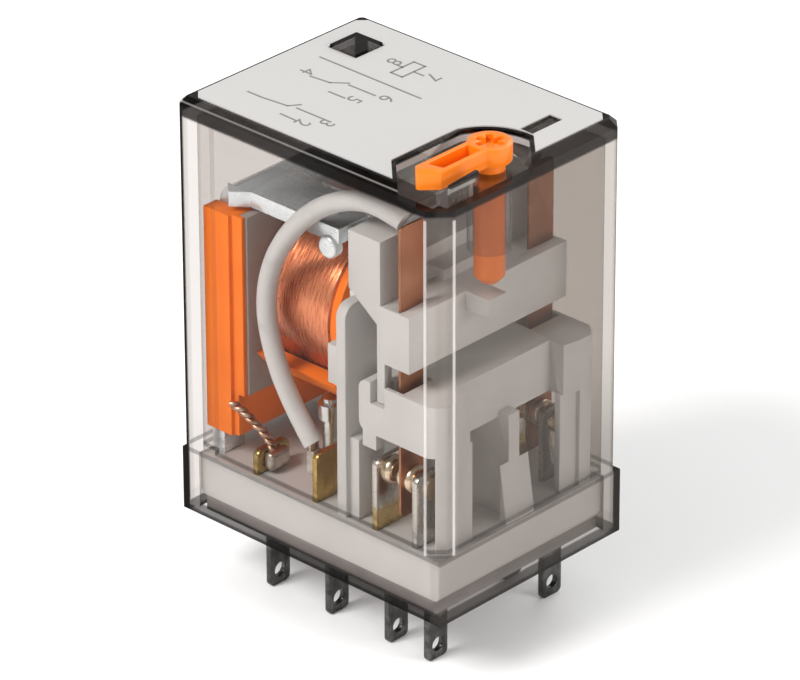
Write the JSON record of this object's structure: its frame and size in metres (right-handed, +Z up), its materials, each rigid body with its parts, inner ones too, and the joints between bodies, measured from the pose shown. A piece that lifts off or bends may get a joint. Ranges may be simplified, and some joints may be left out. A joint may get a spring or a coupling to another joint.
{
  "type": "plug-in relay",
  "caption": "Plug-in electromagnetic relay: clear smoky case, coil and yoke, two change-over contacts, blade terminals and a lockable test lever.",
  "frame": {"origin": "centre of the cover's lower rim, on the seating plane; the blades hang below it", "axes": "+Z up from the seating plane to the labelled top; +X along the long side towards the contacts and the test lever; +Y across to the second pole"},
  "size_m": [0.0276, 0.0208, 0.0431],
  "materials": {
    "clear_case": "smoky clear polycarbonate, gloss",
    "label_sheet": "light grey sheet, satin",
    "grey_moulding": "light warm grey moulding",
    "potting": "dark resin",
    "orange_moulding": "orange moulding",
    "film_grey": "grey insulating plate",
    "enamelled_copper": "enamelled copper winding",
    "soft_iron": "bare iron",
    "bare_copper": "copper",
    "zinc_steel": "zinc plated steel",
    "spring_steel": "spring steel",
    "bright_steel": "bright steel",
    "plated_brass": "nickel plated brass",
    "silver_contact": "silver alloy, gold flash",
    "copper_leaf": "copper alloy leaf",
    "lead_sleeve": "white soft sleeve",
    "solder": "dull solder with flux",
    "flag_orange": "matt orange flag"
  },
  "bodies": {
    "root": {"cover": "clear_case", "label": "label_sheet", "base": "grey_moulding", "base_seal": "potting", "contact_block": "grey_moulding", "barrier_wall": "grey_moulding", "bobbin": "orange_moulding", "insulating_plate": "film_grey", "coil_winding": "enamelled_copper", "core": "soft_iron", "shading_ring": "bare_copper", "yoke": "zinc_steel", "return_spring": "spring_steel", "support_rivets": "bright_steel", "coil_terminal_1": "plated_brass", "com_terminal_1": "plated_brass", "no_terminal_1": "plated_brass", "nc_terminal_1": "plated_brass", "no_contact_1": "silver_contact", "nc_contact_1": "silver_contact", "flexible_lead_1": "lead_sleeve", "coil_wire_1": "bare_copper", "lead_lower_joint_1": "solder", "coil_joint_1": "solder", "coil_terminal_2": "plated_brass", "com_terminal_2": "plated_brass", "no_terminal_2": "plated_brass", "nc_terminal_2": "plated_brass", "no_contact_2": "silver_contact", "nc_contact_2": "silver_contact", "flexible_lead_2": "lead_sleeve", "coil_wire_2": "bare_copper", "lead_lower_joint_2": "solder", "coil_joint_2": "solder"},
    "armature": {"armature": "zinc_steel", "card": "grey_moulding", "indicator_flag": "flag_orange", "moving_spring_1": "copper_leaf", "moving_spring_2": "copper_leaf", "moving_contact_1": "silver_contact", "moving_contact_2": "silver_contact", "lead_upper_joint_1": "solder", "lead_upper_joint_2": "solder"},
    "push_post": {"test_post": "orange_moulding"},
    "lever": {"test_lever": "orange_moulding"}
  },
  "joints": [
    {"name": "armature_swing", "type": "hinge", "parent": "root", "child": "armature", "pos_m": [0.0003, 0, 0.0272], "axis": [0, 1, 0], "range_deg": [0, 1.55], "stiffness_Nm_per_rad": 0.02, "springref_deg": -5.73, "deforming": ["return_spring"]},
    {"name": "test_push", "type": "slide", "parent": "root", "child": "push_post", "axis": [0, 0, -1], "range_m": [0, 0.0007], "stiffness_N_per_m": 400, "springref_m": -0.001},
    {"name": "lever_turn", "type": "hinge", "parent": "push_post", "child": "lever", "pos_m": [0.0108, -0.0016, 0.0358], "axis": [0, 0, 1], "range_deg": [0, 90]}
  ]
}
